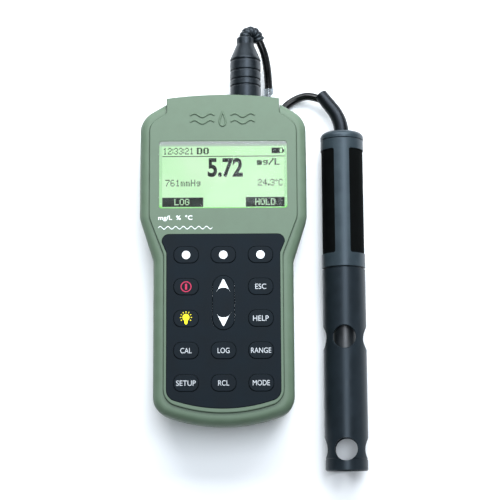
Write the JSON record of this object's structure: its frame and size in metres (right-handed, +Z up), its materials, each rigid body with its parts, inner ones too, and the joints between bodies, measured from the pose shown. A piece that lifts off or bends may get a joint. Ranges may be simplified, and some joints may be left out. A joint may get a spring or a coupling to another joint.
{
  "type": "dissolved oxygen meter with probe",
  "caption": "Handheld water quality meter with display and keypad, joined by a plug and short cable to a round probe with a perforated guard.",
  "frame": {"origin": "middle of the meter's flat back, on the surface that it rests on", "axes": "+Z up out of the display, +Y along the meter to its connector end, +X to the probe's side"},
  "size_m": [0.1266, 0.2541, 0.0349],
  "materials": {
    "case_plastic": "moulded ABS, fine spark-eroded texture, sage green",
    "seal_rubber": "moulded nitrile rubber",
    "cover_rubber": "moulded rubber",
    "window_clear": "clear acrylic",
    "light_guide": "translucent acrylic lit from behind",
    "lcd_glass": "display glass with dark segments",
    "keypad_silicone": "moulded silicone, blue-black, silky",
    "key_silicone": "moulded silicone, blue-black, silky, printed",
    "board_green": "glass-epoxy board with green mask",
    "dome_film": "polyester film with snap domes",
    "cell_wrap": "printed cell sleeve",
    "inner_plastic": "moulded ABS",
    "contact_metal": "nickel plated",
    "screw_steel": "stainless",
    "connector_plastic": "moulded PBT",
    "pin_gold": "gold plated brass",
    "plug_rubber": "moulded elastomer, satin black",
    "cable_jacket": "extruded jacket, glossy black",
    "marker_clear": "clear sleeve",
    "probe_rubber": "moulded elastomer, satin black",
    "probe_plastic": "moulded ABS, satin black",
    "grip_rubber": "moulded rubber, matt black",
    "shaft_plastic": "turned PVC",
    "sensor_steel": "stainless tube",
    "cap_plastic": "moulded ABS",
    "membrane_film": "fluoropolymer film",
    "anode_silver": "silver tube",
    "cathode_gold": "gold disc"
  },
  "bodies": {
    "meter": {"batteries": "cell_wrap", "battery_contacts": "contact_metal", "battery_door": "case_plastic", "battery_door_screws": "screw_steel", "battery_door_seal": "seal_rubber", "battery_tray": "inner_plastic", "case_gasket": "seal_rubber", "case_screws": "screw_steel", "display_window": "window_clear", "dome_sheet": "dome_film", "front_shell": "case_plastic", "key_board": "board_green", "keypad_membrane": "keypad_silicone", "lcd_backlight": "light_guide", "lcd_frame": "light_guide", "lcd_panel": "lcd_glass", "main_board": "board_green", "probe_socket": "connector_plastic", "rear_shell": "case_plastic", "socket_contacts": "pin_gold", "socket_core": "connector_plastic", "socket_nut": "contact_metal", "socket_washer": "seal_rubber", "usb_port": "contact_metal"},
    "probe_lead": {"plug_boot": "plug_rubber", "plug_shell": "contact_metal", "plug_insert": "connector_plastic", "plug_pins": "pin_gold", "plug_strain_relief": "plug_rubber", "probe_cable": "cable_jacket", "cable_marker": "marker_clear", "probe_strain_relief": "probe_rubber", "probe_top_cap": "probe_plastic", "probe_handle": "probe_plastic", "probe_grips": "grip_rubber", "handle_seal": "seal_rubber", "probe_shaft": "shaft_plastic", "temperature_sensor": "sensor_steel", "anode": "anode_silver", "cathode": "cathode_gold"},
    "sleeve": {"protective_sleeve": "probe_plastic"},
    "membrane_cap": {"membrane_cap": "cap_plastic", "membrane": "membrane_film"},
    "usb_cover": {"usb_cover": "cover_rubber"},
    "arrow_rocker": {"arrow_rocker": "key_silicone"},
    "calibrate_key": {"calibrate_key": "key_silicone"},
    "escape_key": {"escape_key": "key_silicone"},
    "help_key": {"help_key": "key_silicone"},
    "light_key": {"light_key": "key_silicone"},
    "log_key": {"log_key": "key_silicone"},
    "mode_key": {"mode_key": "key_silicone"},
    "power_key": {"power_key": "key_silicone"},
    "range_key": {"range_key": "key_silicone"},
    "recall_key": {"recall_key": "key_silicone"},
    "setup_key": {"setup_key": "key_silicone"},
    "soft_key_left": {"soft_key_left": "key_silicone"},
    "soft_key_middle": {"soft_key_middle": "key_silicone"},
    "soft_key_right": {"soft_key_right": "key_silicone"}
  },
  "joints": [
    {"name": "calibrate_key_press", "type": "slide", "parent": "meter", "child": "calibrate_key", "axis": [0, 0, -1], "range_m": [0, 0.0008], "stiffness_N_per_m": 300, "springref_m": -0.0003},
    {"name": "escape_key_press", "type": "slide", "parent": "meter", "child": "escape_key", "axis": [0, 0, -1], "range_m": [0, 0.0008], "stiffness_N_per_m": 300, "springref_m": -0.0003},
    {"name": "help_key_press", "type": "slide", "parent": "meter", "child": "help_key", "axis": [0, 0, -1], "range_m": [0, 0.0008], "stiffness_N_per_m": 300, "springref_m": -0.0003},
    {"name": "light_key_press", "type": "slide", "parent": "meter", "child": "light_key", "axis": [0, 0, -1], "range_m": [0, 0.0008], "stiffness_N_per_m": 300, "springref_m": -0.0003},
    {"name": "log_key_press", "type": "slide", "parent": "meter", "child": "log_key", "axis": [0, 0, -1], "range_m": [0, 0.0008], "stiffness_N_per_m": 300, "springref_m": -0.0003},
    {"name": "mode_key_press", "type": "slide", "parent": "meter", "child": "mode_key", "axis": [0, 0, -1], "range_m": [0, 0.0008], "stiffness_N_per_m": 300, "springref_m": -0.0003},
    {"name": "power_key_press", "type": "slide", "parent": "meter", "child": "power_key", "axis": [0, 0, -1], "range_m": [0, 0.0008], "stiffness_N_per_m": 300, "springref_m": -0.0003},
    {"name": "range_key_press", "type": "slide", "parent": "meter", "child": "range_key", "axis": [0, 0, -1], "range_m": [0, 0.0008], "stiffness_N_per_m": 300, "springref_m": -0.0003},
    {"name": "recall_key_press", "type": "slide", "parent": "meter", "child": "recall_key", "axis": [0, 0, -1], "range_m": [0, 0.0008], "stiffness_N_per_m": 300, "springref_m": -0.0003},
    {"name": "setup_key_press", "type": "slide", "parent": "meter", "child": "setup_key", "axis": [0, 0, -1], "range_m": [0, 0.0008], "stiffness_N_per_m": 300, "springref_m": -0.0003},
    {"name": "soft_key_left_press", "type": "slide", "parent": "meter", "child": "soft_key_left", "axis": [0, 0, -1], "range_m": [0, 0.0008], "stiffness_N_per_m": 300, "springref_m": -0.0003},
    {"name": "soft_key_middle_press", "type": "slide", "parent": "meter", "child": "soft_key_middle", "axis": [0, 0, -1], "range_m": [0, 0.0008], "stiffness_N_per_m": 300, "springref_m": -0.0003},
    {"name": "soft_key_right_press", "type": "slide", "parent": "meter", "child": "soft_key_right", "axis": [0, 0, -1], "range_m": [0, 0.0008], "stiffness_N_per_m": 300, "springref_m": -0.0003},
    {"name": "arrow_rocker_tilt", "type": "hinge", "parent": "meter", "child": "arrow_rocker", "pos_m": [0, -0.0253, 0.0312], "axis": [1, 0, 0], "range_deg": [-2.6, 2.6], "stiffness_Nm_per_rad": 0.08},
    {"name": "usb_cover_swing", "type": "hinge", "parent": "meter", "child": "usb_cover", "pos_m": [-0.0206, 0.081, 0.0195], "axis": [0, 0, 1], "range_deg": [0, 95]},
    {"name": "plug_pull", "type": "slide", "parent": "meter", "child": "probe_lead", "axis": [0, 1, 0], "range_m": [0, 0.02]},
    {"name": "sleeve_pull", "type": "slide", "parent": "probe_lead", "child": "sleeve", "axis": [0, -1, 0], "range_m": [0, 0.1]},
    {"name": "membrane_cap_pull", "type": "slide", "parent": "probe_lead", "child": "membrane_cap", "axis": [0, -1, 0], "range_m": [0, 0.022]}
  ]
}
